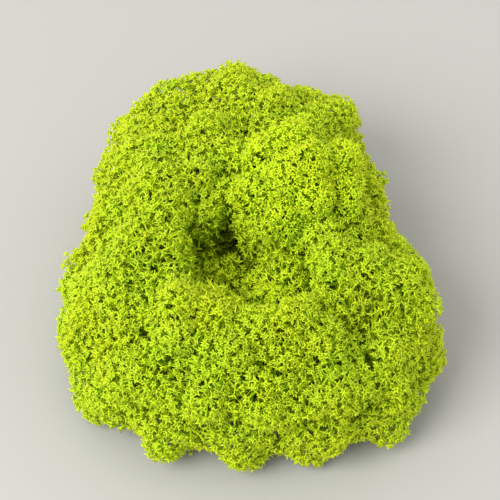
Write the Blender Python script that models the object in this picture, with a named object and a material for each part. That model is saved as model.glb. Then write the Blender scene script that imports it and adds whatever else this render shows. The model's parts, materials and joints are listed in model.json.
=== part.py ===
"""Reindeer moss clump: a cushion of branched lichen stalks (podetia), 1:1.

Every podetium is one closed solid: a short flat-cut stalk end at the bottom, a
goblet that widens with the forking branches, and a lobed, cauliflower-like
crown. The podetia fan out from one point below the cushion. Each keeps to its
own wedge of space round that point, with a small gap to its neighbours. The
crowns press against each other, so their tops run on from one to the next.

Frame: +Z up, the stalk ends stand on Z = 0, +X to the right and +Y to the back
as seen from the front. The origin is the middle of the cushion's underside.
"""

import math

import bmesh
import bpy
import numpy as np
from mathutils import Vector

MM = 0.001

# ---- driving dimensions, in millimetres -------------------------------------
FAN_DEPTH = 25.0  # depth below Z = 0 of the point that the podetia fan out from
GAP = 0.34  # clear space between neighbouring podetia
FLOOR_CLEARANCE = 1.2  # a crown stays this far above what the clump rests on
STALK_END = 0.30  # stalk end radius, as a share of the crown's radius
STALK_END_MIN = 1.9
WAIST = 0.62  # radius of the goblet below the crown, as a share of the crown's

CORE = 0.80  # radius of a crown's round core, as a share of the crown's radius
CORE_BLEND = 2.1  # softness of the join between the cores, in millimetres
LOBES = 12  # lobes on a crown of LOBES_AT millimetres radius
LOBES_AT = 11.0
LOBE_SIZE = 4.9  # radius of a lobe, in millimetres
LOBE_OUT = 0.9  # how far a lobe stands out beyond the crown's radius
LOBE_BLEND = 0.9
MOST = 1.24  # the most that a crown reaches, as a share of its radius
NEAR = 16.0  # crowns with no more clear space than this between them are blended

SEGMENTS = 12  # points round a podetium
RINGS = 10  # rings from the stalk end to the top of the crown
CROWN_RINGS = 7
CROWN_END = math.radians(142.0)  # angle from the crown's top down to its neck

# x, y, z of the crown's middle and the crown's radius
TOP = [
    (10.0, 7.5, 31.0, 17.5),
    (2.5, 28.5, 28.5, 12.5),
    (-8.5, 20.0, 29.5, 12.5),
    (-18.0, 6.5, 30.0, 13.0),
    (-22.0, -8.5, 27.5, 12.0),
    (-22.5, 20.5, 26.5, 12.0),
    (14.5, 27.5, 26.5, 11.5),
    (19.5, -14.5, 27.5, 12.5),
    (8.5, -30.5, 28.0, 11.5),
    (-3.5, -31.0, 27.5, 10.5),
    (-14.5, -26.5, 28.5, 11.5),
]
HOLLOW = [
    (-7.5, -6.0, 17.0, 7.5),
    (5.0, -15.0, 22.0, 9.5),
]
SHOULDER = [
    (-5.5, 39.5, 26.0, 11.5),
    (6.5, 38.5, 23.0, 10.5),
    (16.0, 35.5, 21.0, 10.5),
    (-18.5, 36.5, 24.0, 11.5),
    (-26.5, 30.5, 20.0, 10.5),
    (-29.0, 18.0, 19.0, 10.5),
    (-30.0, 4.5, 20.0, 11.0),
    (-34.5, -7.5, 17.0, 11.0),
    (-28.0, -18.0, 24.0, 12.0),
    (-33.5, -22.0, 16.0, 10.5),
    (-23.5, -33.0, 17.5, 11.5),
    (-10.5, -38.5, 18.5, 11.0),
    (2.5, -39.5, 18.5, 11.0),
    (15.0, -37.5, 19.0, 11.5),
    (26.5, -30.5, 18.5, 11.5),
    (30.5, -17.0, 23.0, 12.0),
    (29.0, -5.5, 17.5, 10.5),
    (22.0, 4.0, 22.0, 11.5),
    (21.5, 17.0, 18.5, 10.5),
]
RIM = [
    (-8.0, 40.5, 11.0, 10.0),
    (6.5, 40.0, 9.5, 9.5),
    (20.5, 34.0, 9.5, 9.5),
    (23.0, 20.5, 8.5, 9.0),
    (26.5, 7.0, 9.0, 9.5),
    (32.5, -6.5, 8.5, 9.0),
    (33.0, -22.0, 10.5, 10.0),
    (27.5, -34.0, 9.0, 9.5),
    (12.5, -39.5, 9.0, 9.5),
    (-3.5, -40.5, 9.0, 9.5),
    (-18.0, -38.5, 9.0, 9.5),
    (-31.5, -29.5, 9.0, 9.5),
    (-35.5, -14.5, 8.5, 9.0),
    (-33.5, 1.5, 9.0, 9.0),
    (-31.0, 15.0, 8.5, 9.0),
    (-27.5, 28.0, 8.5, 9.0),
    (-20.5, 37.0, 10.0, 9.5),
]
TIERS = (
    ("podetium_top", TOP),
    ("podetium_hollow", HOLLOW),
    ("podetium_shoulder", SHOULDER),
    ("podetium_rim", RIM),
)

# ---- finish -----------------------------------------------------------------
CROWN_COLOUR = (0.40, 0.56, 0.022)
OLD_COLOUR = (0.25, 0.36, 0.03)
ROUGHNESS = 0.9

GOLDEN_ANGLE = math.pi * (3.0 - math.sqrt(5.0))


def unit_hash(*numbers):
    """A repeatable number from 0 to 1 for these numbers."""
    x = sum(n * k for n, k in zip(numbers, (12.9898, 78.233, 37.719, 4.581)))
    x = math.sin(x) * 43758.5453
    return x - math.floor(x)


def lobes_of(middle, radius, seed):
    """The lobes of a crown, x, y, z, radius: an even spiral, turned and loosened."""
    many = round(LOBES * (radius / LOBES_AT) ** 2)
    turn = unit_hash(seed, 1.7) * math.tau
    found = []
    for k in range(many):
        up = 1.0 - 2.0 * (k + 0.5) / many + 0.16 * (unit_hash(seed, k, 3.1) - 0.5)
        up = max(-1.0, min(1.0, up))
        flat = math.sqrt(max(0.0, 1.0 - up * up))
        at = turn + k * GOLDEN_ANGLE + 0.5 * (unit_hash(seed, k, 5.3) - 0.5)
        size = LOBE_SIZE * (0.86 + 0.28 * unit_hash(seed, k, 7.9))
        out = radius + LOBE_OUT * (0.4 + 1.2 * unit_hash(seed, k, 2.3)) - size
        way = Vector((flat * math.cos(at), flat * math.sin(at), up))
        found.append((*(middle + way * out), size))
    return found


def depth_in(spheres, place, softness):
    """How deep this place is in the softly joined spheres. Outside is negative."""
    deep = spheres[:, 3] - np.sqrt(((spheres[:, :3] - place) ** 2).sum(1))
    return softness * math.log(np.exp(deep / softness).sum())


class Podetium:
    """The outer shape of one podetium, in millimetres."""

    def __init__(self, name, seed, x, y, z, radius):
        self.name = name
        self.seed = seed
        self.middle = Vector((x, y, z))
        self.radius = radius
        self.fan = Vector((x, y)) / (z + FAN_DEPTH)
        self.weight = (radius / (z + FAN_DEPTH)) ** 2
        self.foot = Vector((self.fan.x * FAN_DEPTH, self.fan.y * FAN_DEPTH, 0.0))
        self.cores = []  # x, y, z, radius of the crown's core and of those near it
        self.lobes = []
        self.walls = []  # (unit normal, offset): inside is normal . p <= offset

    def keep_clear_of(self, other):
        """A wall through the fan's point, between this podetium and the other."""
        d = other.fan - self.fan
        k = other.fan.dot(other.fan) - self.fan.dot(self.fan)
        k += self.weight - other.weight
        normal = Vector((2.0 * d.x, 2.0 * d.y, -k))
        size = normal.length
        self.walls.append((normal / size, k * FAN_DEPTH / size - GAP / 2.0))

    def crown(self, way):
        """How far the clump's soft surface is from the crown's middle, this way."""
        low, high = 0.3 * self.radius, MOST * self.radius
        for _ in range(13):
            reach = 0.5 * (low + high)
            place = np.array(self.middle + way * reach)
            deep = max(
                depth_in(self.cores, place, CORE_BLEND),
                depth_in(self.lobes, place, LOBE_BLEND),
            )
            low, high = (reach, high) if deep > 0.0 else (low, reach)
        return reach

    def held_in(self, start, way, reach, lowest):
        """The reach from start this way, cut back to the podetium's own walls."""
        for normal, offset in self.walls:
            rate = normal.dot(way)
            if rate > 1e-6:
                reach = min(reach, (offset - normal.dot(start)) / rate)
        if way.z < -1e-6:
            reach = min(reach, (start.z - lowest) / -way.z)
        return max(reach, 0.05)

    def point(self, ring, at):
        """The surface point on this ring (0 is the stalk end), at this angle."""
        axis = (self.middle - self.foot).normalized()
        up = Vector((0.0, 0.0, 1.0))
        flat = Vector((math.cos(at), math.sin(at), 0.0))
        stalk_rings = RINGS - CROWN_RINGS
        if ring >= stalk_rings:
            turned = up.rotation_difference(axis) @ flat
            angle = CROWN_END * (1.0 - (ring - stalk_rings) / CROWN_RINGS)
            way = axis * math.cos(angle) + turned * math.sin(angle)
            reach = self.held_in(self.middle, way, self.crown(way), FLOOR_CLEARANCE)
            return self.middle + way * reach
        step = ring / stalk_rings
        end = max(STALK_END * self.radius, STALK_END_MIN)
        neck = self.middle + axis * (self.radius * math.cos(CROWN_END))
        start = self.foot.lerp(neck, step)
        turned = up.rotation_difference(up.lerp(axis, step).normalized()) @ flat
        radius = end + (WAIST * self.radius - end) * step**1.6
        radius *= 1.0 + 0.10 * math.sin(2.0 * at + self.seed)
        return start + turned * self.held_in(start, turned, radius, 0.15 * ring)


def podetia():
    found = []
    for tier, rows in TIERS:
        for k, (x, y, z, radius) in enumerate(rows):
            name = f"{tier}_{k + 1:02d}"
            found.append(Podetium(name, len(found) + 1, x, y, z, radius))
    for one in found:
        for other in found:
            if other is not one:
                one.keep_clear_of(other)
            apart = (other.middle - one.middle).length
            if apart < one.radius + other.radius + NEAR:
                one.cores.append((*other.middle, CORE * other.radius))
                one.lobes += lobes_of(other.middle, other.radius, other.seed)
        one.cores, one.lobes = np.array(one.cores), np.array(one.lobes)
    return found


def material(name, colour):
    m = bpy.data.materials.new(name)
    m.use_nodes = True
    shader = m.node_tree.nodes["Principled BSDF"]
    shader.inputs["Base Color"].default_value = (*colour, 1.0)
    shader.inputs["Roughness"].default_value = ROUGHNESS
    shader.inputs["Metallic"].default_value = 0.0
    m.diffuse_color = (*colour, 1.0)
    return m


def build(one, shift):
    """A sphere's mesh whose rings are laid on the podetium's own surface."""
    bm = bmesh.new()
    bmesh.ops.create_uvsphere(
        bm, u_segments=SEGMENTS, v_segments=RINGS + 1, radius=1.0
    )
    bottom = min(bm.verts, key=lambda v: v.co.z)
    for v in bm.verts:
        down = math.acos(max(-1.0, min(1.0, v.co.z)))
        ring = RINGS - round(down / math.pi * (RINGS + 1))
        at = math.atan2(v.co.y, v.co.x)
        if v is bottom:
            place = one.foot.copy()
        elif ring >= RINGS:
            place = one.point(RINGS, 0.0)
        else:
            place = one.point(ring, at)
        v.co = (place + shift) * MM
    bmesh.ops.dissolve_verts(bm, verts=[bottom])
    bmesh.ops.recalc_face_normals(bm, faces=bm.faces)
    mesh = bpy.data.meshes.new(one.name)
    bm.to_mesh(mesh)
    bm.free()
    mesh.shade_smooth()
    mesh.set_sharp_from_angle(angle=math.radians(60.0))
    thing = bpy.data.objects.new(one.name, mesh)
    bpy.context.scene.collection.objects.link(thing)
    age = max(0.0, min(1.0, one.middle.z / 34.0))
    colour = [a + (b - a) * age for a, b in zip(OLD_COLOUR, CROWN_COLOUR)]
    mesh.materials.append(material(one.name + "_finish", colour))
    return thing


def main():
    for thing in list(bpy.data.objects):
        bpy.data.objects.remove(thing, do_unlink=True)
    clump = podetia()
    points = [
        one.point(ring, math.tau * k / SEGMENTS)
        for one in clump
        for ring in range(RINGS)
        for k in range(SEGMENTS)
    ]
    shift = Vector(
        (
            -0.5 * (min(p.x for p in points) + max(p.x for p in points)),
            -0.5 * (min(p.y for p in points) + max(p.y for p in points)),
            0.0,
        )
    )
    for one in clump:
        build(one, shift)


main()
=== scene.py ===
"""Looks of the reindeer moss clump: every podetium as real branches.

Each podetium of the CAD model is replaced by one mesh that grows inside its
outer shape: a cut stalk, limbs that fork level by level, and at the surface
dense whorls of three to six pointed branchlets round a small open hole. All
lengths are in millimetres until the meshes are made.
"""

import json
import math

import bpy
import numpy as np
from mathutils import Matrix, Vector, noise
from mathutils.bvhtree import BVHTree

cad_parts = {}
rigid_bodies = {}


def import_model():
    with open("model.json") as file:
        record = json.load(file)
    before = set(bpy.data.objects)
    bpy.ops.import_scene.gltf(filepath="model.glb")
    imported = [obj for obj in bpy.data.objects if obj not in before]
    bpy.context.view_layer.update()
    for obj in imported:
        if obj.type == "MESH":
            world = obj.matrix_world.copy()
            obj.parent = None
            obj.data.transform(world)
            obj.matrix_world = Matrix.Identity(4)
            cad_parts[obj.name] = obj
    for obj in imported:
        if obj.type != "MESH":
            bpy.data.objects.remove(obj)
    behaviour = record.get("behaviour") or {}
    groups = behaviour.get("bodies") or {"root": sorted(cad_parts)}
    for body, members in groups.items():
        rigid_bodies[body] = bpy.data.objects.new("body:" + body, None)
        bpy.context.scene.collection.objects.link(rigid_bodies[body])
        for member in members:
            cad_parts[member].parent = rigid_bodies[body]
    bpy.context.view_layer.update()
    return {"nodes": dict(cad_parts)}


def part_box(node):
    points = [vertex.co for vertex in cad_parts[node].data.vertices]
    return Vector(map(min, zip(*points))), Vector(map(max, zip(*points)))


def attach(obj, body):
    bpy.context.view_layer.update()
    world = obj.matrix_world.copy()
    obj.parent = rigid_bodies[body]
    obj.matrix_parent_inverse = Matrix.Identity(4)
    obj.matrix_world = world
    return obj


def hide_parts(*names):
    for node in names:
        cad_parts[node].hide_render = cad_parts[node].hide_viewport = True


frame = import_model()

MM = 0.001

# ---- the podetia, as in the CAD model ----------------------------------------
FAN_DEPTH = 25.0
GAP = 0.34
FLOOR_CLEARANCE = 1.2
STALK_END = 0.30
STALK_END_MIN = 1.9
WAIST = 0.62
CORE = 0.80
CORE_BLEND = 2.1
LOBES = 12
LOBES_AT = 11.0
LOBE_SIZE = 4.9
LOBE_OUT = 0.9
LOBE_BLEND = 0.9
MOST = 1.24
NEAR = 16.0
SEGMENTS = 12
RINGS = 10
CROWN_RINGS = 7
CROWN_END = math.radians(142.0)

TOP = [
    (10.0, 7.5, 31.0, 17.5),
    (2.5, 28.5, 28.5, 12.5),
    (-8.5, 20.0, 29.5, 12.5),
    (-18.0, 6.5, 30.0, 13.0),
    (-22.0, -8.5, 27.5, 12.0),
    (-22.5, 20.5, 26.5, 12.0),
    (14.5, 27.5, 26.5, 11.5),
    (19.5, -14.5, 27.5, 12.5),
    (8.5, -30.5, 28.0, 11.5),
    (-3.5, -31.0, 27.5, 10.5),
    (-14.5, -26.5, 28.5, 11.5),
]
HOLLOW = [
    (-7.5, -6.0, 17.0, 7.5),
    (5.0, -15.0, 22.0, 9.5),
]
SHOULDER = [
    (-5.5, 39.5, 26.0, 11.5),
    (6.5, 38.5, 23.0, 10.5),
    (16.0, 35.5, 21.0, 10.5),
    (-18.5, 36.5, 24.0, 11.5),
    (-26.5, 30.5, 20.0, 10.5),
    (-29.0, 18.0, 19.0, 10.5),
    (-30.0, 4.5, 20.0, 11.0),
    (-34.5, -7.5, 17.0, 11.0),
    (-28.0, -18.0, 24.0, 12.0),
    (-33.5, -22.0, 16.0, 10.5),
    (-23.5, -33.0, 17.5, 11.5),
    (-10.5, -38.5, 18.5, 11.0),
    (2.5, -39.5, 18.5, 11.0),
    (15.0, -37.5, 19.0, 11.5),
    (26.5, -30.5, 18.5, 11.5),
    (30.5, -17.0, 23.0, 12.0),
    (29.0, -5.5, 17.5, 10.5),
    (22.0, 4.0, 22.0, 11.5),
    (21.5, 17.0, 18.5, 10.5),
]
RIM = [
    (-8.0, 40.5, 11.0, 10.0),
    (6.5, 40.0, 9.5, 9.5),
    (20.5, 34.0, 9.5, 9.5),
    (23.0, 20.5, 8.5, 9.0),
    (26.5, 7.0, 9.0, 9.5),
    (32.5, -6.5, 8.5, 9.0),
    (33.0, -22.0, 10.5, 10.0),
    (27.5, -34.0, 9.0, 9.5),
    (12.5, -39.5, 9.0, 9.5),
    (-3.5, -40.5, 9.0, 9.5),
    (-18.0, -38.5, 9.0, 9.5),
    (-31.5, -29.5, 9.0, 9.5),
    (-35.5, -14.5, 8.5, 9.0),
    (-33.5, 1.5, 9.0, 9.0),
    (-31.0, 15.0, 8.5, 9.0),
    (-27.5, 28.0, 8.5, 9.0),
    (-20.5, 37.0, 10.0, 9.5),
]
TIERS = (
    ("podetium_top", TOP, "top_crowns"),
    ("podetium_hollow", HOLLOW, "shaded_crowns"),
    ("podetium_shoulder", SHOULDER, "side_crowns"),
    ("podetium_rim", RIM, "rim_crowns"),
)

# ---- branching ----------------------------------------------------------------
# depth below the clump's surface and spacing, seen and hidden, of each level
LEVELS = (
    (0.70, 1.375, 3.7),
    (3.0, 2.8, 4.4),
    (5.8, 4.3, 5.4),
    (9.0, 6.2, 6.4),
    (12.5, 9.0, 9.0),
)
# the same for short branches that end between the levels, with their size, their
# thickness and the level that they start from
SHORT = (
    (1.35, 1.68, 4.8, 1.12, 1.2, 1),
    (4.0, 2.9, 5.0, 1.45, 1.2, 2),
    (7.0, 4.0, 5.4, 1.9, 1.5, 3),
    (10.2, 5.0, 5.6, 2.4, 1.9, 4),
    (13.6, 5.4, 5.8, 2.7, 2.0, 5),
)
LIMB_RADIUS = (0.28, 0.34, 0.46, 0.62, 0.85)
STALK_RADIUS = 0.82
SEEN = 0.08  # share of the views from above that makes a place count as seen
PORE = 3.0  # spacing of the small dark holes between the whorls
PORE_DEPTH = 1.05
MAP_SIZE = (46, 92)
BORDER_BULGE = 1.9  # how far a border between two podetia waves to either side
BORDER_WAVES = np.array(
    ((0.74, 0.31, -0.22), (-0.36, 0.88, 0.27), (0.25, -0.52, 1.06))
)
# places where the branches stand loose: x, y, z, radius, how loose
LOOSE = np.array(
    (
        (-13.0, -18.0, 30.0, 8.0, 1.0),
        (-7.5, -6.0, 23.0, 8.5, 0.35),
        (-23.0, -15.0, 37.0, 7.0, 0.8),
        (-17.0, 4.0, 42.0, 7.5, 0.7),
        (4.0, -12.0, 31.0, 7.0, 0.8),
        (27.0, -24.0, 30.0, 8.0, 0.7),
        (-9.0, 30.0, 38.0, 5.0, 0.5),
        (-30.0, 22.0, 25.0, 9.0, 0.6),
        (24.0, 30.0, 26.0, 9.0, 0.7),
        (2.0, 48.0, 16.0, 9.0, 0.6),
        (40.0, -6.0, 14.0, 8.0, 0.7),
        (-6.0, -44.0, 20.0, 9.0, 0.6),
    )
)
# small gaps that open on the dark inside: x, y, z, radius
GAPS = np.array(
    (
        (-25.0, -7.5, 38.0, 2.6),
        (-12.0, 31.0, 38.5, 2.8),
        (-2.0, 4.5, 38.0, 2.6),
        (24.0, -35.0, 28.0, 3.0),
        (-36.0, -31.0, 20.0, 3.0),
        (17.0, -23.0, 36.0, 2.3),
        (-19.0, -37.0, 27.0, 2.6),
        (12.0, 33.5, 35.0, 2.4),
        (26.0, 12.0, 26.0, 2.8),
        (0.0, -44.0, 26.0, 2.6),
        (-30.0, 33.0, 24.0, 2.6),
        (10.0, 46.0, 22.0, 2.8),
        (-38.0, 12.0, 18.0, 2.8),
        (38.0, -18.0, 20.0, 2.8),
    )
)
# the calm, dense dome; its colour tone is also lowered, which the ramps turn into a lighter colour:
# painted light
CALM = np.array(((10.0, 7.5, 43.0, 17.0),))
# warmer patches: x, y, z, radius, how warm
WARMER = np.array(
    (
        (-9.0, -26.0, 33.0, 7.0, 0.42),
        (-36.0, 0.0, 22.0, 9.0, 0.22),
        (30.0, -6.0, 28.0, 8.0, 0.16),
        (4.0, 34.0, 38.0, 8.0, 0.12),
        (-8.0, 38.0, 30.0, 10.0, 0.25),
    )
)

# deep gaps between the crowns, filled by long side branches: x, y, z from, z to, radius
DEEP = (
    (-6.5, -14.5, 3.0, 14.0, 7.5),
    (0.0, -8.0, 3.0, 12.0, 5.0),
    (-5.5, 7.0, 5.0, 18.0, 6.0),
)
# the shaded hollow, where the colour tone is lowered as painted shade: x, y, z, radius, how dark
HOLLOW_PAINTED_SHADE = np.array(((-7.5, -5.0, 20.0, 10.0, 1.0), (-5.5, 1.0, 22.0, 6.0, 0.6)))
GOLDEN_ANGLE = math.pi * (3.0 - math.sqrt(5.0))


def unit(v):
    return v / np.maximum(np.linalg.norm(v, axis=-1, keepdims=True), 1e-9)


def dot(a, b):
    return (a * b).sum(-1, keepdims=True)


def smooth(low, high, x):
    t = np.clip((x - low) / (high - low), 0.0, 1.0)
    return t * t * (3.0 - 2.0 * t)


def spiral(count, lowest=-1.0):
    """Even directions from straight up down to this height on the sphere."""
    k = np.arange(count)
    up = 1.0 - (1.0 - lowest) * (k + 0.5) / count
    flat = np.sqrt(1.0 - up * up)
    at = k * GOLDEN_ANGLE
    return np.stack([flat * np.cos(at), flat * np.sin(at), up], -1)


def unit_hash(*numbers):
    x = sum(n * k for n, k in zip(numbers, (12.9898, 78.233, 37.719, 4.581)))
    x = math.sin(x) * 43758.5453
    return x - math.floor(x)


def lobes_of(middle, radius, seed):
    many = round(LOBES * (radius / LOBES_AT) ** 2)
    turn = unit_hash(seed, 1.7) * math.tau
    found = []
    for k in range(many):
        up = 1.0 - 2.0 * (k + 0.5) / many + 0.16 * (unit_hash(seed, k, 3.1) - 0.5)
        up = max(-1.0, min(1.0, up))
        flat = math.sqrt(max(0.0, 1.0 - up * up))
        at = turn + k * GOLDEN_ANGLE + 0.5 * (unit_hash(seed, k, 5.3) - 0.5)
        size = LOBE_SIZE * (0.86 + 0.28 * unit_hash(seed, k, 7.9))
        out = radius + LOBE_OUT * (0.4 + 1.2 * unit_hash(seed, k, 2.3)) - size
        way = np.array((flat * math.cos(at), flat * math.sin(at), up))
        found.append((*(middle + way * out), size))
    return found


def depth_in(spheres, places, softness):
    """How deep these places are in the softly joined spheres. Outside is negative."""
    gap = (places**2).sum(1)[:, None] + (spheres[:, :3] ** 2).sum(1)[None]
    gap = np.sqrt(np.maximum(gap - 2.0 * places @ spheres[:, :3].T, 0.0))
    return softness * np.log(np.exp((spheres[:, 3] - gap) / softness).sum(1))


def turned_to(axis, ways):
    """These directions, turned as the straight up is turned to the axis."""
    turn = Vector((0.0, 0.0, 1.0)).rotation_difference(Vector(axis)).to_matrix()
    return ways @ np.array(turn).T


class Podetium:
    """The outer shape of one podetium, as in the CAD model, but with wavy borders
    to its neighbours, which the branchlets grow up to from both sides."""

    def __init__(self, name, slot, seed, x, y, z, radius):
        self.name, self.slot, self.seed, self.radius = name, slot, seed, radius
        self.middle = np.array((x, y, z))
        self.fan = np.array((x, y)) / (z + FAN_DEPTH)
        self.weight = (radius / (z + FAN_DEPTH)) ** 2
        self.foot = np.array((self.fan[0] * FAN_DEPTH, self.fan[1] * FAN_DEPTH, 0.0))
        self.axis = unit(self.middle - self.foot)
        self.turn = np.array(
            Vector((0.0, 0.0, 1.0)).rotation_difference(Vector(self.axis)).to_matrix()
        )
        self.cores = []
        self.lobes = []
        self.walls = []

    def keep_clear_of(self, other):
        d = other.fan - self.fan
        k = other.fan @ other.fan - self.fan @ self.fan + self.weight - other.weight
        normal = np.array((2.0 * d[0], 2.0 * d[1], -k))
        size = np.linalg.norm(normal)
        pair = sorted((self.seed, other.seed))
        wave = math.tau * unit_hash(*pair, 4.4)
        side = 1.0 if self.seed == pair[0] else -1.0
        self.walls.append((*(normal / size), k * FAN_DEPTH / size, wave, side))

    def survey(self):
        """The clump's soft surface, on a grid of angles round the axis."""
        self.walls = np.array(self.walls)
        near = self.walls[:, 3] - self.middle @ self.walls[:, :3].T
        self.walls = self.walls[near < 1.35 * self.radius + 2.5]
        self.cores, self.lobes = np.array(self.cores), np.array(self.lobes)
        gap = np.linalg.norm(self.lobes[:, :3] - self.middle, axis=1)
        self.lobes = self.lobes[gap < MOST * self.radius + self.lobes[:, 3] + 1.0]
        theta = np.linspace(0.0, CROWN_END, MAP_SIZE[0])
        phi = np.arange(MAP_SIZE[1]) * math.tau / MAP_SIZE[1]
        theta, phi = (a.reshape(-1) for a in np.meshgrid(theta, phi, indexing="ij"))
        flat = np.sin(theta)
        ways = np.stack([flat * np.cos(phi), flat * np.sin(phi), np.cos(theta)], -1)
        self.map = self.crown(ways @ self.turn.T).reshape(MAP_SIZE)

    def crown(self, ways):
        low = np.full(len(ways), 0.3 * self.radius)
        high = np.full(len(ways), MOST * self.radius)
        for _ in range(13):
            reach = 0.5 * (low + high)
            places = self.middle + ways * reach[:, None]
            deep = np.maximum(
                depth_in(self.cores, places, CORE_BLEND),
                depth_in(self.lobes, places, LOBE_BLEND),
            )
            low = np.where(deep > 0.0, reach, low)
            high = np.where(deep > 0.0, high, reach)
        return reach

    def surface(self, ways):
        """The crown's reach this way, read from the survey."""
        own = ways @ self.turn
        row = np.arccos(np.clip(own[:, 2], -1.0, 1.0)) / CROWN_END * (MAP_SIZE[0] - 1)
        row = np.clip(row, 0.0, MAP_SIZE[0] - 1.001)
        col = np.arctan2(own[:, 1], own[:, 0]) / math.tau * MAP_SIZE[1]
        col = col % MAP_SIZE[1]
        r, c = row.astype(int), col.astype(int) % MAP_SIZE[1]
        fr, fc = row - r, col - np.floor(col)
        d = (c + 1) % MAP_SIZE[1]
        return (self.map[r, c] * (1 - fc) + self.map[r, d] * fc) * (1 - fr) + (
            self.map[r + 1, c] * (1 - fc) + self.map[r + 1, d] * fc
        ) * fr

    def bulge(self, places):
        """How far each border stands off its plane near these places: the same
        wave for both podetia, with the opposite sign."""
        wave, side = self.walls[:, 4], self.walls[:, 5]
        along = places @ BORDER_WAVES.T
        value = np.zeros((len(places), len(wave)))
        for k in range(len(BORDER_WAVES)):
            value += np.sin(along[:, k, None] + wave[None] * (1.0 + 0.7 * k))
        return value * side * (BORDER_BULGE / len(BORDER_WAVES))

    def room(self, places):
        """The least distance to this podetium's borders. Outside is negative."""
        return (self.walls[:, 3] + self.bulge(places) - places @ self.walls[:, :3].T).min(1)

    def border(self, ways, reach):
        """The reach from the middle to the podetium's borders and the ground."""
        rate = ways @ self.walls[:, :3].T
        flat = self.walls[:, 3] - self.middle @ self.walls[:, :3].T
        far = reach
        for _ in range(2):
            places = self.middle + ways * np.clip(far, 0.5, 1.3 * self.radius)[:, None]
            with np.errstate(divide="ignore", invalid="ignore"):
                far = np.where(rate > 1e-6, (flat + self.bulge(places)) / rate, np.inf)
            far = np.maximum(far.min(1), 0.05)
        down = np.where(
            ways[:, 2] < -1e-6,
            (self.middle[2] - FLOOR_CLEARANCE) / np.maximum(-ways[:, 2], 1e-6),
            np.inf,
        )
        return np.minimum(far, down)

    def normals(self, ways):
        """The outward normals of the clump's surface, from its slope."""
        side = unit(np.cross(ways, np.where(abs(ways[:, 2:]) < 0.9, (0, 0, 1), (1, 0, 0))))
        over = np.cross(ways, side)
        step = 0.07
        slope = []
        for t in (side, over):
            a = self.surface(unit(ways + step * t))
            b = self.surface(unit(ways - step * t))
            slope.append((a - b) / (2.0 * step))
        lean = (side * slope[0][:, None] + over * slope[1][:, None]) / self.surface(ways)[:, None]
        return unit(ways - lean)

    def goblet(self, count):
        """Points and outward directions on the side of the goblet below the crown."""
        k = np.arange(count)
        step = (0.18 + 0.82 * (k + 0.5) / count)[:, None]
        at = k * GOLDEN_ANGLE + self.seed
        flat = np.stack([np.cos(at), np.sin(at), np.zeros(count)], -1)
        end = max(STALK_END * self.radius, STALK_END_MIN)
        neck = self.middle + self.axis * (self.radius * math.cos(CROWN_END))
        start = self.foot + (neck - self.foot) * step
        way = unit(turned_to(self.axis, flat) * step + flat * (1.0 - step))
        reach = end + (WAIST * self.radius - end) * step[:, 0] ** 1.6
        rate = way @ self.walls[:, :3].T
        room = self.walls[:, 3] - GAP / 2.0 - start @ self.walls[:, :3].T
        with np.errstate(divide="ignore", invalid="ignore"):
            far = np.where(rate > 1e-6, room / rate, np.inf).min(1)
        down = np.where(
            way[:, 2] < -1e-6, (start[:, 2] - 0.5) / np.maximum(-way[:, 2], 1e-6), np.inf
        )
        reach = np.maximum(np.minimum(reach, np.minimum(far, down)), 0.05)
        return start + way * reach[:, None], way


def podetia():
    found = []
    for tier, rows, slot in TIERS:
        for k, (x, y, z, radius) in enumerate(rows):
            name = f"{tier}_{k + 1:02d}"
            found.append(Podetium(name, slot, len(found) + 1, x, y, z, radius))
    for one in found:
        for other in found:
            if other is not one:
                one.keep_clear_of(other)
            apart = np.linalg.norm(other.middle - one.middle)
            if apart < one.radius + other.radius + NEAR:
                one.cores.append((*other.middle, CORE * other.radius))
                one.lobes += lobes_of(other.middle, other.radius, other.seed)
        one.survey()
    return found


def cad_shift(clump):
    """The move that centres the clump, measured on one CAD solid's own box."""
    low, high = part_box(clump[0].name)
    one = clump[0]
    ways = []
    for ring in range(CROWN_RINGS):
        angle = CROWN_END * (1.0 - ring / CROWN_RINGS)
        for k in range(SEGMENTS):
            at = math.tau * k / SEGMENTS
            ways.append(
                (
                    math.sin(angle) * math.cos(at),
                    math.sin(angle) * math.sin(at),
                    math.cos(angle),
                )
            )
    ways = turned_to(one.axis, np.array(ways))
    rate = ways @ one.walls[:, :3].T
    room = one.walls[:, 3] - GAP / 2.0 - one.middle @ one.walls[:, :3].T
    with np.errstate(divide="ignore", invalid="ignore"):
        far = np.where(rate > 1e-6, room / rate, np.inf).min(1)
    down = (one.middle[2] - FLOOR_CLEARANCE) / np.maximum(-ways[:, 2], 1e-6)
    reach = np.maximum(np.minimum(one.crown(ways), np.minimum(far, down)), 0.05)
    points = one.middle + ways * reach[:, None]
    middle = 0.5 * (points.min(0) + points.max(0))
    return np.array(
        [0.5 * (low[k] + high[k]) / MM - middle[k] for k in range(2)] + [0.0]
    )


def solids_tree(nodes):
    """All CAD solids as one tree for rays, in millimetres."""
    points, faces = [], []
    for name in sorted(nodes):
        mesh = nodes[name].data
        base = len(points)
        points.extend(v.co / MM for v in mesh.vertices)
        faces.extend([base + i for i in p.vertices] for p in mesh.polygons)
    return BVHTree.FromPolygons(points, faces)


def seen_share(tree, points, normals, sky):
    """How much of the sky sees each of these places."""
    share = np.zeros(len(points))
    for k, (p, n) in enumerate(zip(points, normals)):
        start = Vector(p + n * 0.25)
        open_ways = 0
        for way in sky:
            if way @ n > 0.0 and tree.ray_cast(start, Vector(way), 200.0)[0] is None:
                open_ways += 1
        share[k] = open_ways / len(sky)
    return share


def field(spots, places):
    """The strongest pull of these round spots on each place, 0 to 1."""
    gap = np.linalg.norm(places[:, None] - spots[None, :, :3], axis=2)
    pull = 1.0 - smooth(0.55, 1.25, gap / spots[None, :, 3])
    if spots.shape[1] > 4:
        pull = pull * spots[None, :, 4]
    return pull.max(1)


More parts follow.
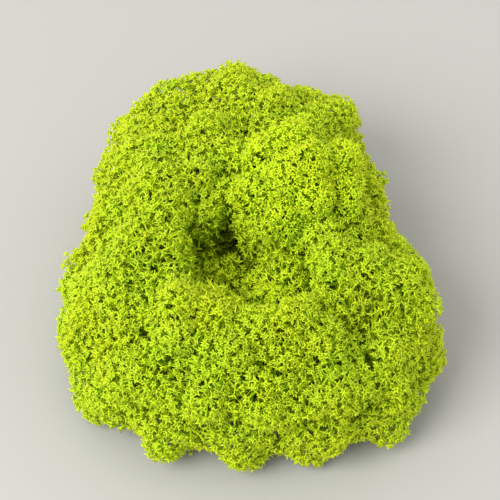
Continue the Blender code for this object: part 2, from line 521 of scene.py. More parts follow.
def thinned(points, spacing, order, taken=None):
    """The indexes that are left when none is closer to another than its spacing."""
    left = np.ones(len(points), bool)
    if taken is not None and len(taken):
        for k in range(0, len(points), 800):
            gap = ((points[k : k + 800, None] - taken[None]) ** 2).sum(-1).min(1)
            left[k : k + 800] = gap > (0.92 * spacing[k : k + 800]) ** 2
    kept = []
    for k in order:
        if left[k]:
            kept.append(k)
            near = ((points - points[k]) ** 2).sum(1) < spacing[k] ** 2
            left[near] = False
    return np.array(kept, int)


class Growth:
    """The mesh of one podetium: points, faces and each point's place on the colour map, which is (tone,
    patch). The tone is partly age and partly painted light and shade."""

    def __init__(self):
        self.points, self.uvs, self.loops, self.sizes = [], [], [], []
        self.count = 0

    def add(self, points, uvs, faces):
        many, each = points.shape[:2]
        if not many:
            return
        base = self.count + each * np.arange(many)
        for size in sorted({len(f) for f in faces}):
            picked = np.array([f for f in faces if len(f) == size])
            loops = base[:, None, None] + picked[None]
            self.loops.append(loops.reshape(-1))
            self.sizes.append(np.full(many * len(picked), size))
        self.points.append(points.reshape(-1, 3))
        self.uvs.append(uvs.reshape(-1, 2))
        self.count += many * each

    def triangles(self):
        return int(sum((s - 2).sum() for s in self.sizes))

    def mesh(self, name, shift):
        mesh = bpy.data.meshes.new(name)
        points = np.concatenate(self.points) + shift
        # the lowest tips bend on the ground instead of going through it
        low = points[:, 2] < 0.3
        points[low, 2] = 0.3 * np.exp((points[low, 2] - 0.3) / 0.3)
        points = points * MM
        loops = np.concatenate(self.loops).astype(np.int32)
        sizes = np.concatenate(self.sizes)
        starts = (np.cumsum(sizes) - sizes).astype(np.int32)
        mesh.vertices.add(len(points))
        mesh.vertices.foreach_set("co", points.astype(np.float32).reshape(-1))
        mesh.loops.add(len(loops))
        mesh.loops.foreach_set("vertex_index", loops)
        mesh.polygons.add(len(sizes))
        mesh.polygons.foreach_set("loop_start", starts)
        mesh.update(calc_edges=True)
        uvs = np.clip(np.concatenate(self.uvs), 0.004, 0.996)[loops]
        layer = mesh.uv_layers.new(name="OFBake")
        layer.data.foreach_set("uv", uvs.astype(np.float32).reshape(-1))
        mesh.shade_smooth()
        return mesh


def ring(middle, way, across, radius, sides, phase=0.0):
    """Points round a branch. middle and way are (n, 3), radius (n, 1)."""
    e1 = unit(across - way * dot(way, across))
    e2 = np.cross(way, e1)
    at = math.tau * np.arange(sides) / sides + phase
    out = (
        e1[:, None] * np.cos(at)[None, :, None]
        + e2[:, None] * np.sin(at)[None, :, None]
    )
    return middle[:, None] + out * radius[:, None], out, e1, e2


def ring_uv(tone, patch, sides):
    """tone and patch are (n,); the small spread gives every face some area."""
    at = math.tau * np.arange(sides) / sides
    u = tone[:, None] + 0.004 * np.sin(at + 0.4)[None]
    v = patch[:, None] + 0.006 * np.cos(at)[None]
    return np.stack([u, v], -1)


def side_faces(low, high, sides):
    return [
        (low + j, low + (j + 1) % sides, high + (j + 1) % sides, high + j)
        for j in range(sides)
    ]


def bend(start, start_way, end, end_way):
    """The middle of a smooth curve between two ends, and its direction there."""
    length = np.linalg.norm(end - start, axis=1, keepdims=True)
    middle = 0.5 * (start + end) + length * (start_way - end_way) / 8.0
    way = unit(1.5 * (end - start) - 0.25 * length * (start_way + end_way))
    return middle, way


def across_of(ways, rng):
    return unit(np.cross(ways, unit(rng.normal(size=ways.shape))) + 1e-6)


def limbs(growth, start, start_way, end, end_way, r0, r1, tone0, tone1, patch, sides, rng):
    """Forking limbs between two levels, with rounded ends inside the forks."""
    middle, way = bend(start, start_way, end, end_way)
    across = across_of(end - start, rng)
    rings = [
        ring(start, start_way, across, r0, sides)[0],
        ring(middle, way, across, 0.5 * (r0 + r1) * 0.94, sides)[0],
        ring(end, end_way, across, r1, sides)[0],
        (end + end_way * r1 * 0.9)[:, None],
    ]
    uvs = [
        ring_uv(tone0, patch, sides),
        ring_uv(0.5 * (tone0 + tone1), patch, sides),
        ring_uv(tone1, patch, sides),
        np.stack([tone1 + 0.01, patch], -1)[:, None],
    ]
    faces = side_faces(0, sides, sides) + side_faces(sides, 2 * sides, sides)
    faces += [(2 * sides + j, 2 * sides + (j + 1) % sides, 3 * sides) for j in range(sides)]
    faces += [tuple(range(sides - 1, -1, -1))]
    growth.add(np.concatenate(rings, 1), np.concatenate(uvs, 1), faces)


def twigs(growth, start, way, length, radius, tone0, tone1, patch, rng):
    """Short tapered branchlets on the side of a limb."""
    lean = unit(way + 0.35 * rng.normal(size=way.shape))
    middle = start + way * length * 0.5
    across = across_of(way, rng)
    sides = 3
    rings = [
        ring(start, way, across, radius, sides)[0],
        ring(middle, unit(way + lean), across, radius * 0.78, sides)[0],
        (middle + lean * length * 0.5)[:, None],
    ]
    uvs = [
        ring_uv(tone0, patch, sides),
        ring_uv(0.5 * (tone0 + tone1), patch, sides),
        np.stack([tone1, patch], -1)[:, None],
    ]
    faces = side_faces(0, sides, sides)
    faces += [(sides + j, sides + (j + 1) % sides, 2 * sides) for j in range(sides)]
    faces += [(2, 1, 0)]
    growth.add(np.concatenate(rings, 1), np.concatenate(uvs, 1), faces)


def whorls(growth, start, start_way, hub, hub_way, tips, size, arm, thick, tone0, tone1, patch, fine, rng):
    """A last branch, its funnel-shaped hub with the open hole, and the star of
    blunt branchlets round it. tips is the number of branchlets, arm and thick
    stretch them, one value a whorl."""
    many = len(hub)
    if not many:
        return
    across = across_of(hub_way, rng)
    r_low = {3: 0.20, 4: 0.23, 5: 0.26, 6: 0.30}[tips] * size * thick**0.5
    r_high = r_low + 0.11 * size
    tall = 0.36 * size

    # the last branch
    middle, way = bend(start, start_way, hub, hub_way)
    stem = 0.15 * size * thick
    root = hub + hub_way * 0.1
    if fine:
        rings = [
            ring(start, start_way, across, stem * 1.25, 3)[0],
            ring(middle, way, across, stem, 3)[0],
            ring(root, hub_way, across, stem, 3)[0],
        ]
        uvs = [
            ring_uv(tone0, patch, 3),
            ring_uv(0.6 * tone0 + 0.4 * tone1, patch, 3),
            ring_uv(0.4 * tone0 + 0.6 * tone1, patch, 3),
        ]
        faces = side_faces(0, 3, 3) + side_faces(3, 6, 3)
    else:
        rings = [
            ring(start, start_way, across, stem * 1.3, 3)[0],
            ring(root, hub_way, across, stem, 3)[0],
        ]
        uvs = [ring_uv(tone0, patch, 3), ring_uv(0.5 * tone0 + 0.5 * tone1, patch, 3)]
        faces = side_faces(0, 3, 3)
    growth.add(np.concatenate(rings, 1), np.concatenate(uvs, 1), faces)

    # the hub
    low, out_low, e1, e2 = ring(hub, hub_way, across, r_low, tips)
    high = ring(hub + hub_way * tall, hub_way, across, r_high, tips)[0]
    tone_hub = tone0 + (tone1 - tone0) * 0.55
    tone_rim = tone0 + (tone1 - tone0) * 0.72
    tone_hole = tone0 + (tone1 - tone0) * 0.20
    # the hole takes a tone near the branch below it; through the ramps this paints the holes of the outer
    # whorls lighter than their tips, painted light, and those deep inside darker, painted shade
    parts = [low, high, (hub - hub_way * (0.28 * size))[:, None]]
    uvs = [
        ring_uv(tone_hub, patch, tips),
        ring_uv(tone_rim, patch, tips),
        np.stack([tone_hole, patch], -1)[:, None],
    ]
    faces = [(tips + j, tips + (j + 1) % tips, 2 * tips) for j in range(tips)]
    if fine:
        faces += [tuple(range(tips - 1, -1, -1))]
    at = 2 * tips + 1
    for j in range(tips):
        turn = math.tau * (j + 0.5) / tips + 0.26 * rng.normal(size=(many, 1))
        out = e1 * np.cos(turn) + e2 * np.sin(turn)
        side = -e1 * np.sin(turn) + e2 * np.cos(turn)
        lift = np.radians(rng.uniform(8.0, 58.0, size=(many, 1)))
        curl = lift + np.radians(rng.uniform(-8.0, 30.0, size=(many, 1)))
        length = rng.uniform(0.55, 1.0, size=(many, 1)) * size * arm
        base = hub + hub_way * (0.5 * tall) + out * 0.5 * (r_low + r_high)
        first = out * np.cos(lift) + hub_way * np.sin(lift)
        then = out * np.cos(curl) + hub_way * np.sin(curl)
        corner = [j, (j + 1) % tips, tips + (j + 1) % tips, tips + j]
        if fine:
            knee = base + first * length * 0.66
            up = np.cross(first, side)
            up = up * np.sign(dot(up, hub_way))
            w = 0.155 * size * thick * rng.uniform(0.85, 1.2, size=(many, 1))
            for sx, sy in ((0.0, -1.1), (0.95, 0.6), (-0.95, 0.6)):
                parts.append((knee + side * (sx * w) + up * (sy * w))[:, None])
                u = tone0 + (tone1 - tone0) * 0.90 + 0.004 * sy
                uvs.append(np.stack([u, patch + 0.006 * sx], -1)[:, None])
            parts.append((knee + then * (length * 0.34 + 0.06))[:, None])
            uvs.append(np.stack([tone1, patch], -1)[:, None])
            faces += [
                (corner[0], corner[1], at),
                (corner[1], corner[2], at + 1, at),
                (corner[2], corner[3], at + 2, at + 1),
                (corner[3], corner[0], at, at + 2),
                (at, at + 1, at + 3),
                (at + 1, at + 2, at + 3),
                (at + 2, at, at + 3),
            ]
            at += 4
        else:
            parts.append((base + unit(first + then) * length)[:, None])
            uvs.append(np.stack([tone1, patch], -1)[:, None])
            faces += [(corner[i], corner[(i + 1) % 4], at) for i in range(4)]
            at += 1
    growth.add(np.concatenate(parts, 1), np.concatenate(uvs, 1), faces)


def painted_light_and_shade_at(points):
    """Tone factor at these places: lowered in the shaded hollow as painted shade, and lowered on the calm
    dome, where the ramps then paint it lighter: painted light.
    """
    return (1.0 - 0.20 * field(HOLLOW_PAINTED_SHADE, points)) * (1.0 - 0.36 * field(CALM, points))


def tone_at(depth):
    """Colour tone: 1 at the living tips, falling with depth below the surface. Partly age, partly painted
    light and shade through the colour ramps.
    """
    return np.clip(0.98 * np.exp(-np.maximum(depth, 0.0) / 7.5), 0.05, 1.0)


def patches(points, seed, rng, jitter):
    """Slow colour patches across the clump, one value a branch, 0 to 1."""
    value = np.empty(len(points))
    for k, p in enumerate(points):
        q = Vector(p)
        value[k] = 0.26 * noise.noise(q / 18.0) + 0.20 * noise.noise(q / 6.5)
    value += field(WARMER, points)
    own = 0.12 * (unit_hash(seed, 9.1) - 0.5)
    return np.clip(
        0.5 + value + own + jitter * rng.normal(size=len(points)), 0.02, 0.98
    )


def stars(growth, here, start, start_way, tone0, ends, patch, size, fine, rng, thick=1.0):
    """Whorls on these nodes: the finer ones where they can be seen."""
    seen = here["seen"][ends] > 0.045
    many = len(ends)
    loose = field(LOOSE, here["p"][ends])
    sizes = size * rng.uniform(0.86, 1.14, size=many)
    if fine:
        sizes = sizes * np.where(seen, 1.0, 1.7)
    arm = (1.0 + 0.55 * loose) * rng.uniform(0.9, 1.15, size=many)
    thick = thick * (1.0 - 0.28 * loose) * (1.0 + 0.12 * field(CALM, here["p"][ends]))
    share = rng.random(many) - 0.25 * loose
    number = np.select([share < 0.04, share < 0.24, share < 0.70], [3, 4, 5], 6)
    if not fine:
        number = np.minimum(number, 4)
    number = np.where(seen, number, np.minimum(number, 4))
    tip = tone_at(here["depth"][ends] - 0.8) + 0.05 * rng.normal(size=many)
    # the tips' tone, with painted shade in the hollow and painted light on the dome
    tip = np.clip(tip * painted_light_and_shade_at(here["p"][ends]), 0.06, 1.0)
    for tips in (3, 4, 5, 6):
        for rich in (True, False):
            pick = (number == tips) & ((seen & fine) == rich)
            at = ends[pick]
            whorls(
                growth,
                start[at],
                start_way[at],
                here["p"][at],
                here["way"][at],
                tips,
                sizes[pick][:, None],
                arm[pick][:, None],
                thick[pick][:, None],
                tone0[at],
                tip[pick],
                patch[at],
                rich,
                rng,
            )


def grow(one, tree, sky, taken):
    """All branches of one podetium. taken holds the outer whorls' places of the
    podetia that have grown before, and this one's are added to it."""
    rng = np.random.default_rng(4100 + one.seed)
    growth = Growth()
    middle, radius = one.middle, one.radius
    beside = [q[np.linalg.norm(q - middle, axis=1) < 1.3 * radius + 3.0] for q in taken]
    beside = np.concatenate(beside) if beside else np.zeros((0, 3))

    # how open each direction of the crown is
    grid = turned_to(one.axis, spiral(340, math.cos(CROWN_END)))
    grid_reach = np.minimum(one.surface(grid), one.border(grid, one.surface(grid)))
    grid_seen = seen_share(
        tree, middle + SHIFT + grid * grid_reach[:, None], one.normals(grid), sky
    )
    near = grid @ grid.T > math.cos(math.radians(17.0))
    grid_seen = np.maximum(grid_seen, 0.55 * (near * grid_seen[None]).max(1))

    def shell(depth, seen_gap, hidden_gap, outer=False):
        """Evenly loose nodes at this depth, denser where they can be seen."""
        fine = 1.0 if outer else 0.6
        count = int(fine * 9000 * (radius / 12.0) ** 2 / (1.0 + 0.5 * depth))
        ways = turned_to(one.axis, spiral(count, math.cos(CROWN_END)))
        ways = unit(ways + rng.normal(size=ways.shape) * 0.5 / math.sqrt(count))
        over = one.surface(ways)
        limit = one.border(ways, over)
        inner = 0.35 + 0.45 * depth
        is_open = one.room(middle + ways * (over - depth)[:, None]) > -0.1
        if not outer:
            is_open = limit - inner > over - depth
        left = np.where(is_open, over - depth, np.minimum(limit - inner, over - depth - 0.6))
        keep = left > min(1.0 + 0.2 * depth, 2.0)
        ways, left, over, is_open = ways[keep], left[keep], over[keep], is_open[keep]
        if not len(ways):
            return None
        seen = grid_seen[(ways @ grid.T).argmax(1)]
        seen = np.where(is_open, seen, 0.5 * seen)
        points = middle + ways * left[:, None]
        fit = points[:, 2] > 0.8
        ways, left, over, is_open = ways[fit], left[fit], over[fit], is_open[fit]
        seen, points = seen[fit], points[fit]
        spacing = hidden_gap + (seen_gap - hidden_gap) * smooth(0.0, SEEN, seen)
        spacing = spacing * rng.uniform(0.88, 1.12, size=len(spacing))
        spacing = spacing * (1.0 + 0.30 * field(LOOSE, points) - 0.10 * field(CALM, points))
        if outer:
            gone = field(GAPS, points) > 0.5
            spacing = np.where(gone, 1e-3, spacing)
            order = np.flatnonzero(~gone)[rng.permutation((~gone).sum())]
        else:
            order = rng.permutation(len(points))
        kept = thinned(points, spacing, order, beside if outer else None)
        uneven = rng.normal(size=len(kept)) * (0.12 + 0.03 * depth)
        uneven *= 1.0 - 0.5 * field(CALM, points[kept])
        if outer:
            p = points[kept] / 1.15
            uneven += 0.18 * np.sin(p[:, 0] + 1.3 * np.sin(p[:, 1])) * np.cos(p[:, 2] + p[:, 1])
        return {
            "p": points[kept] - ways[kept] * uneven[:, None],
            "way": ways[kept],
            "seen": seen[kept],
            "depth": np.maximum(over[kept] - left[kept] + uneven, 0.2),
        }

    # nodes of every level, from the surface inwards
    levels = []
    for level in LEVELS:
        nodes = shell(*level, outer=not levels)
        if nodes is None:
            break
        levels.append(nodes)
    outermost = levels[0]
    taken.append(outermost["p"].copy())

    # some whorls stand deeper, so that small dark holes open between the others
    calm = field(CALM, outermost["p"])
    pores = thinned(
        outermost["p"],
        PORE * (1.0 + 0.5 * calm) * rng.uniform(0.85, 1.2, size=len(calm)),
        rng.permutation(len(calm)),
    )
    pores = pores[rng.random(len(pores)) < 0.85 - 0.6 * calm[pores]]
    sunk = PORE_DEPTH * rng.uniform(0.6, 1.25, size=len(pores)) * (1.0 - 0.4 * calm[pores])
    outermost["p"][pores] -= outermost["way"][pores] * sunk[:, None]
    outermost["depth"][pores] += sunk

    # the stalk, from its cut end up into the crown
    neck = middle + one.axis * (radius * math.cos(CROWN_END))
    stalk = [
        one.foot,
        one.foot + (neck - one.foot) * 0.5 + np.array((0, 0, 0.02)) * radius,
        neck,
        middle - one.axis * radius * 0.38,
        middle - one.axis * radius * 0.02,
    ]
    thick = STALK_RADIUS * (radius / 11.0) ** 0.5
    stalk_radius = [thick * f for f in (1.15, 1.0, 0.95, 0.8, 0.6)]
    sides = 8
    across = across_of(one.axis[None], rng)
    points, uvs, faces = [], [], []
    for k, (p, r) in enumerate(zip(stalk, stalk_radius)):
        way = unit(stalk[min(k + 1, 4)] - stalk[max(k - 1, 0)])[None]
        if k == 0:
            way = np.array([[0.0, 0.0, 1.0]])
        points.append(ring(p[None], way, across, np.array([[r]]), sides)[0])
        uvs.append(ring_uv(np.array([0.12 + 0.06 * k]), np.array([0.4]), sides))
        if k:
            faces += side_faces((k - 1) * sides, k * sides, sides)
    faces += [tuple(range(sides - 1, -1, -1)), tuple(4 * sides + j for j in range(sides))]
    growth.add(np.concatenate(points, 1), np.concatenate(uvs, 1), faces)
    stalk = np.array(stalk)
    stalk_way = np.repeat(one.axis[None], len(stalk), 0)

    # branchlets low down on the stalk, where the crowns leave it open
    many = int(24 * (radius / 11.0) ** 2)
    many += int(64 * math.exp(-((math.dist(one.foot[:2], (-1.0, 7.0)) / 13.0) ** 2)))
    step = 0.06 + 0.94 * rng.random(size=(many, 1)) ** 1.3
    begin = one.foot + (neck - one.foot) * step
    aside = across_of(np.repeat(one.axis[None], many, 0), rng)
    end = max(STALK_END * radius, STALK_END_MIN)
    reach = end + (WAIST * radius - end) * step**1.6
    reach = np.maximum(reach, 4.4) * rng.uniform(0.32, 0.95, size=(many, 1))
    spots = begin + aside * reach + one.axis * reach * 0.7
    here = {
        "p": spots,
        "way": unit(aside + 1.2 * one.axis),
        "seen": np.zeros(many),
        "depth": np.full(many, 8.0),
    }
    fit = np.flatnonzero((one.room(spots) > -0.3) & (spots[:, 2] > 2.9))
    stars(
        growth,
        here,
        begin,
        unit(aside + 0.4 * one.axis),
        np.full(many, 0.2),
        fit,
        patches(spots, one.seed, rng, 0.04),
        1.7,
        False,
        rng,
    )

    # long side branches into the deep gaps between the crowns
    for x, y, low, high, wide in DEEP:
        many = int(2.6 * wide**2)
        k = np.arange(many)
        flat = wide * np.sqrt((k + 0.5) / many)
        at = k * GOLDEN_ANGLE
        up = low + (high - low) * ((k * 0.6180339887) % 1.0)
        spots = np.stack([x + flat * np.cos(at), y + flat * np.sin(at), up], -1)
        spots = spots[one.room(spots) > 0.05]
        if not len(spots):
            continue
        far = np.linalg.norm(spots[:, :2] - one.foot[:2], axis=1)
        step = np.clip((spots[:, 2] - 0.5 * far) / max(neck[2], 1.0), 0.04, 0.9)
        begin = one.foot + (neck - one.foot) * step[:, None]
        aside = unit(spots - begin + 0.05 * rng.normal(size=spots.shape))
        here = {
            "p": spots,
            "way": unit(0.6 * aside + one.axis),
            "seen": np.zeros(len(spots)),
            "depth": np.full(len(spots), 5.0),
        }
        stars(
            growth,
            here,
            begin,
            aside,
            np.full(len(spots), 0.2),
            np.arange(len(spots)),
            patches(spots, one.seed, rng, 0.04),
            1.8,
            False,
            rng,
        )

    # join each node to the nearest node of the next level in
    levels.append(
        {"p": stalk[1:], "way": stalk_way[1:], "seen": np.zeros(4), "depth": np.full(4, 14.0)}
    )
    top = len(levels) - 1
    for k in range(top):
        inner = levels[k + 1]
        if k + 1 < top:
            targets = np.concatenate([inner["p"], levels[top]["p"]])
            extra = np.concatenate([np.zeros(len(inner["p"])), np.full(4, 1.5)])
        else:
            targets, extra = inner["p"], np.zeros(4)
        gap = np.linalg.norm(levels[k]["p"][:, None] - targets[None], axis=2)
        # a parent further out than its child would make the branch turn back
        out = (targets[None] - levels[k]["p"][:, None]) @ one.axis
        gap = gap + extra[None] + np.maximum(out, 0.0) * 0.8
        levels[k]["parent"] = gap.argmin(1)
        levels[k]["joined"] = len(inner["p"]) if k + 1 < top else 0

    def parent_of(k, what):
        inner = levels[k + 1]
        if k + 1 < top:
            pool = np.concatenate([inner[what], levels[top][what]])
        else:
            pool = inner[what]
        return pool[levels[k]["parent"]]

    # tufts: a node's outer branches close up round it, and drop towards its edge
    for inner, pull, drop, most in ((1, 0.05, 0.10, 0.35), (2, 0.05, 0.07, 1.0)):
        if inner >= top:
            continue
        owner = levels[0]["parent"].copy()
        if inner == 2:
            near_top = owner >= len(levels[1]["p"])
            owner = levels[1]["parent"][np.where(near_top, 0, owner)]
            fine_owner = ~near_top & (owner < len(levels[2]["p"]))
        else:
            fine_owner = owner < len(levels[1]["p"])
        owner = np.where(fine_owner, owner, 0)
        root, out = levels[inner]["p"][owner], levels[inner]["way"][owner]
        off = levels[0]["p"] - root
        side = off - out * dot(off, out)
        far = np.linalg.norm(side, axis=1, keepdims=True)
        change = -side * pull - out * np.minimum(drop * far**2, most)
        levels[0]["p"] = levels[0]["p"] + np.where(fine_owner[:, None], change, 0.0)

    # directions of the branches at their outer ends
    for k in range(top - 1, -1, -1):
        here = levels[k]
        along = unit(here["p"] - parent_of(k, "p"))
        if k == 0:
            face = one.normals(here["way"])
            base = parent_of(0, "p") - parent_of(0, "way") * 2.0
            here["way"] = unit(
                0.55 * face
                + 0.45 * unit(here["p"] - base)
                + 0.13 * rng.normal(size=face.shape)
            )
        else:
            here["way"] = unit(0.5 * here["way"] + 0.5 * along)

    used = [np.zeros(len(l["p"]), bool) for l in levels]
    for k in range(top):
        inside = levels[k]["parent"] < levels[k]["joined"]
        if k + 1 < top:
            used[k + 1][levels[k]["parent"][inside]] = True
        else:
            used[k + 1][levels[k]["parent"]] = True

    for k in range(top):
        here = levels[k]
        start = parent_of(k, "p")
        start_way = unit(0.65 * unit(here["p"] - start) + 0.35 * parent_of(k, "way"))
        patch = patches(here["p"], one.seed, rng, 0.05 if k == 0 else 0.03)
        # tones by depth, with painted shade in the hollow and painted light on the dome
        tone0 = tone_at(parent_of(k, "depth")) * painted_light_and_shade_at(start)
        tone1 = tone_at(here["depth"]) * painted_light_and_shade_at(here["p"])
        on = used[k]
        if on.any():
            r1 = LIMB_RADIUS[k] * rng.uniform(0.9, 1.12, size=(on.sum(), 1))
            r0 = np.maximum(r1 * 1.12, LIMB_RADIUS[min(k + 1, 4)] * 0.8)
            limbs(
                growth,
                start[on],
                start_way[on],
                here["p"][on],
                here["way"][on],
                r0,
                r1,
                tone0[on],
                tone1[on],
                patch[on],
                4 if k < 3 else 6,
                rng,
            )
            # side branchlets along them
            for at in (0.7,):
                spot = start[on] * (1 - at) + here["p"][on] * at
                way = unit(
                    unit(here["p"][on] - start[on])
                    + 1.1 * unit(rng.normal(size=spot.shape))
                )
                many = rng.random(len(spot)) < 0.9
                length = rng.uniform(1.1, 2.1, size=(len(spot), 1))
                twigs(
                    growth,
                    spot[many],
                    way[many],
                    length[many],
                    np.full((many.sum(), 1), 0.25),
                    tone1[on][many],
                    np.minimum(tone1[on][many] + 0.15, 1.0),
                    patch[on][many],
                    rng,
                )
        ends = np.flatnonzero(~on)
        if k == 0:
            ends = np.arange(len(on))
        stars(growth, here, start, start_way, tone0, ends, patch, 1.0 + 0.12 * k, k == 0, rng)
        # branchlets on the last branches, just under the stars
        if k == 0:
            for at in (0.6,):
                pick = (here["seen"] > 0.03) & (rng.random(len(start)) < 0.85)
                spot = start[pick] * (1 - at) + here["p"][pick] * at
                way = unit(
                    unit(here["p"][pick] - start[pick])
                    + 1.0 * unit(rng.normal(size=spot.shape))
                )
                length = rng.uniform(0.9, 1.5, size=(len(spot), 1))
                twigs(
                    growth,
                    spot,
                    way,
                    length,
                    np.full((len(spot), 1), 0.22),
                    tone0[pick] * 0.5 + tone1[pick] * 0.5,
                    np.minimum(tone1[pick] + 0.1, 1.0),
                    patch[pick],
                    rng,
                )

    # short branches that end between the levels and fill the podetium
    for depth, seen_gap, hidden_gap, size, thick, level in SHORT:
        here = shell(depth, seen_gap, hidden_gap)
        if here is None:
            break
        pool = [levels[top]] + [levels[k] for k in range(level, min(level + 2, top))]
        places = np.concatenate([q["p"] for q in pool])
        ways = np.concatenate([q["way"] for q in pool])
        depths = np.concatenate([q["depth"] for q in pool])
        gap = np.linalg.norm(here["p"][:, None] - places[None], axis=2)
        out = ((places[None] - here["p"][:, None]) * here["way"][:, None]).sum(-1)
        owner = (gap + np.maximum(out + 0.6, 0.0)).argmin(1)
        start = places[owner]
        along = unit(here["p"] - start)
        here["way"] = unit(
            along + 0.5 * here["way"] + 0.35 * rng.normal(size=along.shape)
        )
        start_way = unit(0.65 * along + 0.35 * ways[owner])
        patch = patches(here["p"], one.seed, rng, 0.04)
        stars(
            growth,
            here,
            start,
            start_way,
            tone_at(depths[owner]),
            np.arange(len(owner)),
            patch,
            size,
            False,
            rng,
            thick,
        )

    # sparse branchlets on the goblet below the crown
    spots, out = one.goblet(120)
    seen = seen_share(tree, spots + SHIFT, out, sky[::2])
    spacing = 4.0 + (2.0 - 4.0) * smooth(0.0, SEEN, seen)
    kept = thinned(spots, spacing, rng.permutation(len(spots)))
    spots, out, seen = spots[kept] - out[kept] * 0.9, out[kept], seen[kept]
    along = np.clip((spots - one.foot) @ one.axis - 3.0, 0.3, None)
    start = one.foot + one.axis * along[:, None] * 0.9
    far = np.linalg.norm(spots - start, axis=1)
    fit = (far > 0.8) & (spots[:, 2] > 1.2)
    spots, out, seen, start = spots[fit], out[fit], seen[fit], start[fit]
    here = {
        "p": spots,
        "way": unit(out + 0.4 * one.axis),
        "seen": seen,
        "depth": np.full(len(spots), 4.0),
    }
    stars(
        growth,
        here,
        start,
        unit(unit(spots - start) + 0.5 * one.axis),
        np.full(len(spots), 0.12),
        np.arange(len(spots)),
        patches(spots, one.seed, rng, 0.04),
        1.25,
        False,
        rng,
    )
    return growth


# ---- materials ------------------------------------------------------------------
# base colours by tone, which falls with depth below the surface, for cool green patches and warm
# yellow-lime ones. The branches just under the tips are painted lighter than the tips themselves: painted
# light that lifts the shade between the whorls. The deepest parts are darker olive, partly real age and
# partly painted shade.
COOL = (
    (0.00, (0.180, 0.300, 0.006)),
    (0.18, (0.305, 0.500, 0.008)),
    (0.42, (0.418, 0.692, 0.010)),
    (0.70, (0.395, 0.660, 0.010)),
    (1.00, (0.302, 0.502, 0.012)),
)
WARM = (
    (0.00, (0.230, 0.300, 0.005)),
    (0.18, (0.375, 0.500, 0.007)),
    (0.42, (0.503, 0.686, 0.008)),
    (0.70, (0.480, 0.652, 0.008)),
    (1.00, (0.372, 0.502, 0.010)),
)
MEAN = (0.40, 0.60, 0.009)


def ramp(nodes, stops, place):
    node = nodes.new("ShaderNodeValToRGB")
    node.location = place
    found = node.color_ramp.elements
    while len(found) < len(stops):
        found.new(0.5)
    for element, (at, colour) in zip(found, stops):
        element.position = at
        element.color = (*colour, 1.0)
    return node


def lichen(name, painted_light_and_shade_factor):
    """Matte, felted lichen: colour by tone along the branch and by patch; the tone is partly age and
    partly painted light and shade, scaled by this copy's factor.
    """
    m = bpy.data.materials.new(name)
    m.use_nodes = True
    nodes, links = m.node_tree.nodes, m.node_tree.links
    shader = nodes["Principled BSDF"]
    place = nodes.new("ShaderNodeUVMap")
    place.uv_map = "OFBake"
    place.location = (-1300, 0)
    split = nodes.new("ShaderNodeSeparateXYZ")
    split.location = (-1100, 0)
    links.new(place.outputs["UV"], split.inputs["Vector"])
    # fine unevenness from branch to branch
    stretch = nodes.new("ShaderNodeMapping")
    stretch.location = (-1100, -260)
    stretch.inputs["Scale"].default_value = (3.0, 46.0, 1.0)
    links.new(place.outputs["UV"], stretch.inputs["Vector"])
    grain = nodes.new("ShaderNodeTexNoise")
    grain.location = (-900, -260)
    grain.inputs["Scale"].default_value = 1.0
    grain.inputs["Detail"].default_value = 2.0
    links.new(stretch.outputs["Vector"], grain.inputs["Vector"])
    # the grain's random spread round this copy's tone factor, which paints light and shade by tier
    shade = nodes.new("ShaderNodeMapRange")
    shade.location = (-700, -260)
    shade.inputs["From Min"].default_value = 0.3
    shade.inputs["From Max"].default_value = 0.7
    shade.inputs["To Min"].default_value = painted_light_and_shade_factor - 0.08
    shade.inputs["To Max"].default_value = painted_light_and_shade_factor + 0.06
    links.new(grain.outputs["Fac"], shade.inputs["Value"])
    tone = nodes.new("ShaderNodeMath")
    tone.operation = "MULTIPLY"
    tone.location = (-900, 60)
    links.new(split.outputs["X"], tone.inputs[0])
    links.new(shade.outputs["Result"], tone.inputs[1])
    cool = ramp(nodes, COOL, (-700, 220))
    warm = ramp(nodes, WARM, (-700, 0))
    links.new(tone.outputs["Value"], cool.inputs["Fac"])
    links.new(tone.outputs["Value"], warm.inputs["Fac"])
    blend = nodes.new("ShaderNodeMix")
    blend.data_type = "RGBA"
    blend.location = (-380, 120)
    amount = nodes.new("ShaderNodeMapRange")
    amount.interpolation_type = "SMOOTHSTEP"
    amount.location = (-700, 460)
    amount.inputs["From Min"].default_value = 0.12
    amount.inputs["From Max"].default_value = 0.88
    links.new(split.outputs["Y"], amount.inputs["Value"])
    links.new(amount.outputs["Result"], blend.inputs["Factor"])
    links.new(cool.outputs["Color"], blend.inputs["A"])
    links.new(warm.outputs["Color"], blend.inputs["B"])
    links.new(blend.outputs["Result"], shader.inputs["Base Color"])
    shader.inputs["Base Color"].default_value = (*MEAN, 1.0)
    # felted skin: duller and glossier branches, and a fine grain
    felt = nodes.new("ShaderNodeMapRange")
    felt.location = (-380, -180)
    felt.inputs["From Min"].default_value = 0.3
    felt.inputs["From Max"].default_value = 0.7
    felt.inputs["To Min"].default_value = 0.78
    felt.inputs["To Max"].default_value = 0.92
    links.new(grain.outputs["Fac"], felt.inputs["Value"])
    links.new(felt.outputs["Result"], shader.inputs["Roughness"])
    where = nodes.new("ShaderNodeTexCoord")
    where.location = (-900, -520)
    fibres = nodes.new("ShaderNodeTexNoise")
    fibres.location = (-700, -520)
    fibres.inputs["Scale"].default_value = 2600.0
    fibres.inputs["Detail"].default_value = 2.0
    links.new(where.outputs["Object"], fibres.inputs["Vector"])
    bump = nodes.new("ShaderNodeBump")
    bump.location = (-380, -440)
    bump.inputs["Strength"].default_value = 0.35
    bump.inputs["Distance"].default_value = 0.00005
    links.new(fibres.outputs["Fac"], bump.inputs["Height"])
    links.new(bump.outputs["Normal"], shader.inputs["Normal"])
    shader.inputs["Specular IOR Level"].default_value = 0.09
    # thin living branches let light through
    shader.inputs["Subsurface Weight"].default_value = 0.8
    shader.inputs["Subsurface Scale"].default_value = 0.0013
    shader.inputs["Subsurface Radius"].default_value = (0.85, 1.0, 0.35)
    m.diffuse_color = (*MEAN, 1.0)
    return m


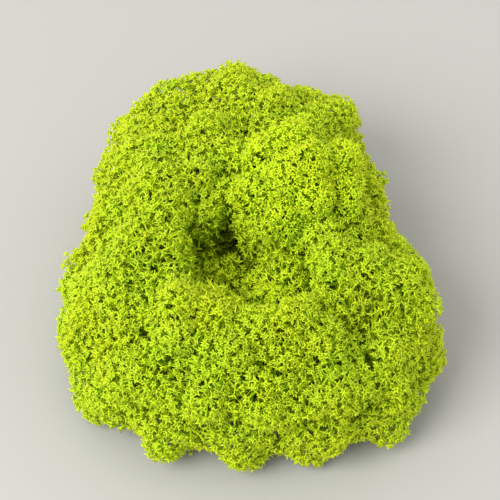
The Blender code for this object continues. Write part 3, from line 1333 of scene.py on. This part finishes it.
# ---- the clump ---------------------------------------------------------------------
clump = podetia()
SHIFT = cad_shift(clump)
tree = solids_tree(frame["nodes"])
sky = spiral(44, 0.05)
# copies of one lichen with their own tone factors: painted shade on the crowns in the hollow, and small
# painted shifts on the side and rim crowns
finishes = {
    "top_crowns": lichen("lichen_top", 1.0),
    "side_crowns": lichen("lichen_side", 0.98),
    "rim_crowns": lichen("lichen_rim", 0.95),
    "shaded_crowns": lichen("lichen_shaded", 0.86),
}
total = 0
taken = []
for one in clump:
    growth = grow(one, tree, sky, taken)
    total += growth.triangles()
    mesh = growth.mesh(one.name + "_branches", SHIFT)
    mesh.materials.append(finishes[one.slot])
    thing = bpy.data.objects.new(one.name + "_branches", mesh)
    bpy.context.scene.collection.objects.link(thing)
    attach(thing, "root")
    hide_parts(one.name)
print("triangles in all:", total)

# ---- floor, light, camera ------------------------------------------------------------
bpy.ops.mesh.primitive_plane_add(size=4.0, location=(0.0, 0.0, -0.0002))
floor = bpy.context.object
floor.name = "floor"
paper = bpy.data.materials.new("pale_floor")
paper.use_nodes = True
paper.node_tree.nodes["Principled BSDF"].inputs["Base Color"].default_value = (
    0.368,
    0.364,
    0.349,
    1.0,
)
paper.node_tree.nodes["Principled BSDF"].inputs["Roughness"].default_value = 0.9
floor.data.materials.append(paper)

world = bpy.data.worlds.new("room")
bpy.context.scene.world = world
world.use_nodes = True
world.node_tree.nodes["Background"].inputs["Color"].default_value = (1.0, 0.985, 0.96, 1)
world.node_tree.nodes["Background"].inputs["Strength"].default_value = 1.19


def area_light(name, place, size, power):
    light = bpy.data.lights.new(name, "AREA")
    light.shape = "DISK"
    light.size = size
    light.energy = power
    light.color = (1.0, 0.99, 0.96)
    thing = bpy.data.objects.new(name, light)
    thing.location = place
    thing.rotation_euler = (-Vector(place)).to_track_quat("-Z", "Y").to_euler()
    bpy.context.scene.collection.objects.link(thing)


area_light("key", (-0.47, -0.43, 0.65), 0.6, 9.05)

ELEVATION = math.radians(50.0)
DISTANCE = 0.44
camera_data = bpy.data.cameras.new("camera")
camera_data.angle = math.radians(14.6)
camera_data.dof.use_dof = False
camera = bpy.data.objects.new("camera", camera_data)
target = Vector((0.0, 0.0, 0.021))
offset = Vector((0.0, -math.cos(ELEVATION), math.sin(ELEVATION))) * DISTANCE
camera.location = target + offset
camera.rotation_euler = (-offset).to_track_quat("-Z", "Y").to_euler()
bpy.context.scene.collection.objects.link(camera)
bpy.context.scene.camera = camera

bpy.context.scene.cycles.max_bounces = 16
bpy.context.scene.cycles.diffuse_bounces = 10

settings = bpy.context.scene.view_settings
settings.view_transform = "Standard"
settings.look = "None"
